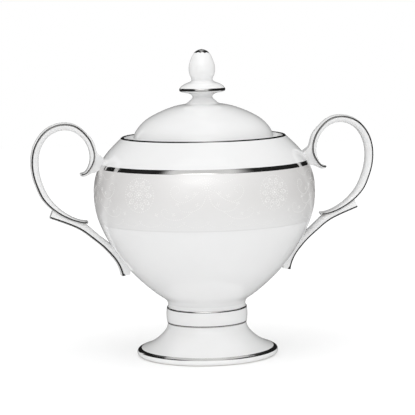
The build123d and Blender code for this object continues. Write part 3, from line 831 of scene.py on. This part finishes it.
floor = bpy.data.meshes.new("paper_floor")
floor.from_pydata(verts, [], faces)
for poly in floor.polygons:
    poly.use_smooth = True
floor_obj = bpy.data.objects.new("paper_floor", floor)
bpy.context.scene.collection.objects.link(floor_obj)
floor_obj.location = (0, 0, -0.00005)
floor_obj.data.materials.append(fm)

# ================================================================ light
FILL_BASE, FILL_LOBE, FILL_TOP = 0.582, 0.612, 0.40
world = bpy.data.worlds.new("studio")
bpy.context.scene.world = world
world.use_nodes = True
wn = world.node_tree
for node in list(wn.nodes):
    wn.nodes.remove(node)
w_out = wn.nodes.new("ShaderNodeOutputWorld")
geo = wn.nodes.new("ShaderNodeTexCoord")
sep = wn.nodes.new("ShaderNodeSeparateXYZ")
wn.links.new(geo.outputs["Generated"], sep.inputs["Vector"])
lp = wn.nodes.new("ShaderNodeLightPath")


def w_math(op, a, b=None):
    m = wn.nodes.new("ShaderNodeMath")
    m.operation = op
    for i, v in enumerate((a, b)):
        if v is None:
            continue
        if isinstance(v, (int, float)):
            m.inputs[i].default_value = v
        else:
            wn.links.new(v, m.inputs[i])
    return m.outputs[0]


def w_range(value, a0, a1, b0=0.0, b1=1.0, smooth=True):
    m = wn.nodes.new("ShaderNodeMapRange")
    m.interpolation_type = "SMOOTHSTEP" if smooth else "LINEAR"
    for name, v in (("From Min", a0), ("From Max", a1), ("To Min", b0), ("To Max", b1)):
        m.inputs[name].default_value = v
    wn.links.new(value, m.inputs["Value"])
    return m.outputs["Result"]


def w_sum(*terms):
    total = terms[0]
    for t in terms[1:]:
        total = w_math("ADD", total, t)
    return total


# Direction as seen from the bowl: across (right +), towards the camera, and up.
turn = math.radians(-8.0)
X, Y, Z = sep.outputs["X"], sep.outputs["Y"], sep.outputs["Z"]
across = w_sum(w_math("MULTIPLY", X, math.cos(turn)), w_math("MULTIPLY", Y, math.sin(turn)))
toward = w_sum(w_math("MULTIPLY", X, math.sin(turn)), w_math("MULTIPLY", Y, -math.cos(turn)))
azim = w_math("MULTIPLY", w_math("ARCTAN2", across, toward), 180 / math.pi)
elev = w_math("MULTIPLY", w_math("ARCSINE", w_math("MAXIMUM", w_math("MINIMUM", Z, 1.0), -1.0)), 180 / math.pi)

# soft fill that lights the china: strongest from above the camera, weaker from the sides and behind
lobe = w_math("MAXIMUM", w_sum(w_math("MULTIPLY", toward, math.cos(math.radians(42))),
                               w_math("MULTIPLY", Z, math.sin(math.radians(42)))), 0.0)
fill = w_sum(w_math("MULTIPLY", lobe, FILL_LOBE), w_math("MULTIPLY", w_math("MAXIMUM", Z, 0.0), FILL_TOP),
             w_math("MULTIPLY", w_sum(w_math("MULTIPLY", w_math("MAXIMUM", across, 0.0), -0.22),
                                        w_math("MULTIPLY", w_math("MINIMUM", across, 0.0), 0.24)),
                    w_math("MAXIMUM", w_sum(w_math("MULTIPLY", Z, -1.8), 1.0), 0.0)), FILL_BASE)
fill_bg = wn.nodes.new("ShaderNodeBackground")
fill_bg.inputs["Color"].default_value = (1.0, 1.0, 1.0, 1.0)
wn.links.new(fill, fill_bg.inputs["Strength"])

# what the glaze and the metal mirror: one wide softbox above the camera, dark flags at the sides, a dim ceiling
left_edge = w_range(azim, -58.0, -38.0)
right_edge = w_range(azim, 32.0, 66.0, 1.0, 0.0)
high = w_math("MULTIPLY", w_range(elev, 22.0, 34.0), w_range(elev, 66.0, 82.0, 1.0, 0.0))
panel = w_math("MULTIPLY", w_math("MULTIPLY", left_edge, right_edge), high)
low_front = w_math("MULTIPLY", w_math("MULTIPLY", w_range(azim, -40.0, -30.0), w_range(azim, 24.0, 38.0, 1.0, 0.0)),
                   w_range(elev, 26.0, 36.0, 1.0, 0.0))
left_slit = w_math("MULTIPLY", w_math("MULTIPLY", w_range(azim, -147.5, -145.0), w_range(azim, -139.5, -137.0, 1.0, 0.0)),
                   w_math("MULTIPLY", w_range(elev, 5.0, 9.0), w_range(elev, 21.0, 25.0, 1.0, 0.0)))
slits = left_slit
behind = w_math("MULTIPLY", w_math("MULTIPLY", w_range(w_math("ABSOLUTE", azim), 150.0, 170.0),
                                   w_range(elev, 30.0, 50.0)), 0.42)
ceiling = w_math("MULTIPLY", w_range(elev, 66.0, 84.0), w_range(across, -0.12, 0.10, 0.03, 0.46, False))
core = w_math("MULTIPLY", w_math("MULTIPLY", w_range(azim, -34.0, -12.0), w_range(azim, 0.0, 22.0, 1.0, 0.0)),
              w_math("MULTIPLY", w_range(elev, 22.0, 31.0), w_range(elev, 35.0, 44.0, 1.0, 0.0)))
seen = w_sum(w_math("MULTIPLY", panel, 0.80), w_math("MULTIPLY", core, 1.95), w_math("MULTIPLY", low_front, 0.70), w_math("MULTIPLY", slits, 0.95),
             behind, ceiling, 0.015)
mirror = wn.nodes.new("ShaderNodeBackground")
mirror.inputs["Color"].default_value = (1.0, 1.0, 1.0, 1.0)
wn.links.new(seen, mirror.inputs["Strength"])

paper = wn.nodes.new("ShaderNodeBackground")          # the white sweep behind the bowl
paper.inputs["Color"].default_value = (1.0, 1.0, 1.0, 1.0)
paper.inputs["Strength"].default_value = 1.0
mix_a = wn.nodes.new("ShaderNodeMixShader")
wn.links.new(lp.outputs["Is Glossy Ray"], mix_a.inputs[0])
wn.links.new(fill_bg.outputs[0], mix_a.inputs[1])
wn.links.new(mirror.outputs[0], mix_a.inputs[2])
mix_b = wn.nodes.new("ShaderNodeMixShader")
wn.links.new(lp.outputs["Is Camera Ray"], mix_b.inputs[0])
wn.links.new(mix_a.outputs[0], mix_b.inputs[1])
wn.links.new(paper.outputs[0], mix_b.inputs[2])
wn.links.new(mix_b.outputs[0], w_out.inputs["Surface"])

# ================================================================ camera
az, tilt, roll = math.radians(-8.0), math.radians(6.34), math.radians(1.2)
dist, eye = 1.003, 0.1918
fwd = Vector((-math.sin(az) * math.cos(tilt), math.cos(az) * math.cos(tilt), -math.sin(tilt)))
right = Vector((math.cos(az), math.sin(az), 0.0))
up = right.cross(fwd)
cam_data = bpy.data.cameras.new("camera")
cam_data.sensor_width = 36.0
cam_data.lens = 1855.0 / 415.0 * 36.0
cam_data.clip_end = 20.0
cam = bpy.data.objects.new("camera", cam_data)
bpy.context.scene.collection.objects.link(cam)
c, s = math.cos(roll), math.sin(roll)
x_axis = right * c - up * s
y_axis = right * s + up * c
z_axis = -fwd
cam.location = Vector((math.sin(az) * dist, -math.cos(az) * dist, eye)) + right * 0.0015
rot = cam.matrix_world.to_3x3()
for i in range(3):
    rot[i][0], rot[i][1], rot[i][2] = x_axis[i], y_axis[i], z_axis[i]
cam.rotation_euler = rot.to_euler()
bpy.context.scene.camera = cam
bpy.context.scene.view_settings.view_transform = "Standard"
bpy.context.scene.view_settings.look = "None"

bpy.context.view_layer.update()
